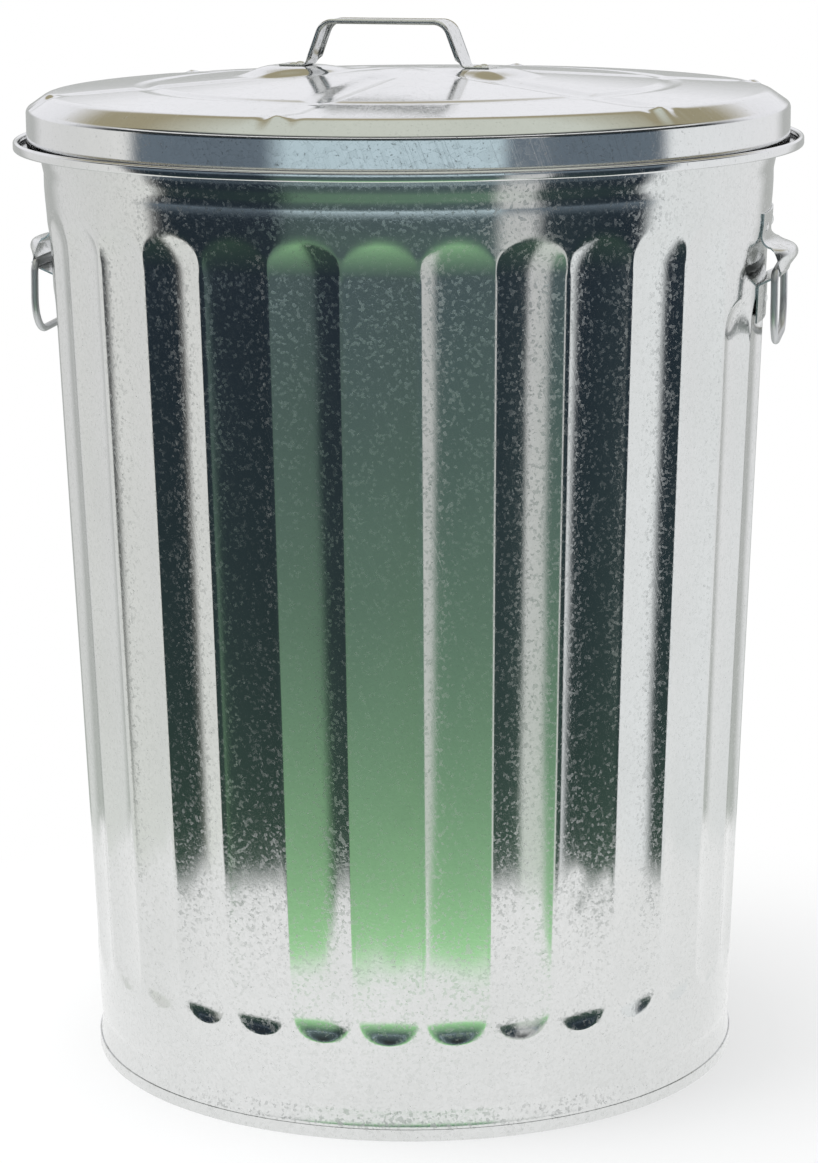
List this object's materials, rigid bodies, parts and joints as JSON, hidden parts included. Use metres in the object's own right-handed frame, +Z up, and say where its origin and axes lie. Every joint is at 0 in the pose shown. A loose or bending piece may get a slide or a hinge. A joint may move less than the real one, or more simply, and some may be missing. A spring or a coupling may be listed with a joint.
{
  "type": "trash_can",
  "caption": "Round tapered sheet-metal bin with upright ribs, drop-ring side handles and a loose domed lid with a strap handle",
  "frame": {"origin": "centre of the foot ring on the floor, lid closed, bails hanging", "axes": "+Z up, front towards -Y, the two bails on +X (right) and -X (left)"},
  "size_m": [0.546, 0.546, 0.7302],
  "materials": {
    "galvanized_sheet": "hot-dip zinc with fine spangle, satin to glossy",
    "galvanized_wire": "zinc-coated wire, satin",
    "lid_sheet": "hot-dip zinc sheet, glossy crown, scuffed skirt"
  },
  "bodies": {
    "can": {"body_shell": "galvanized_sheet", "rim_wire": "galvanized_wire", "bottom_pan": "galvanized_sheet", "right_ear": "galvanized_sheet", "left_ear": "galvanized_sheet", "right_ear_rivets": "galvanized_wire", "left_ear_rivets": "galvanized_wire"},
    "lid": {"lid_shell": "lid_sheet", "lid_edge_wire": "galvanized_wire", "lid_handle": "lid_sheet", "lid_handle_rivets": "galvanized_wire"},
    "right_bail_body": {"right_bail": "galvanized_wire"},
    "left_bail_body": {"left_bail": "galvanized_wire"}
  },
  "joints": [
    {"name": "lid_lift", "type": "slide", "parent": "can", "child": "lid", "axis": [0, 0, 1], "range_m": [0, 0.12]},
    {"name": "right_bail_swing", "type": "hinge", "parent": "can", "child": "right_bail_body", "pos_m": [0.258, 0, 0.5635], "axis": [0, -1, 0], "range_deg": [-9, 174]},
    {"name": "left_bail_swing", "type": "hinge", "parent": "can", "child": "left_bail_body", "pos_m": [-0.258, 0, 0.5635], "axis": [0, 1, 0], "range_deg": [-9, 174]}
  ]
}
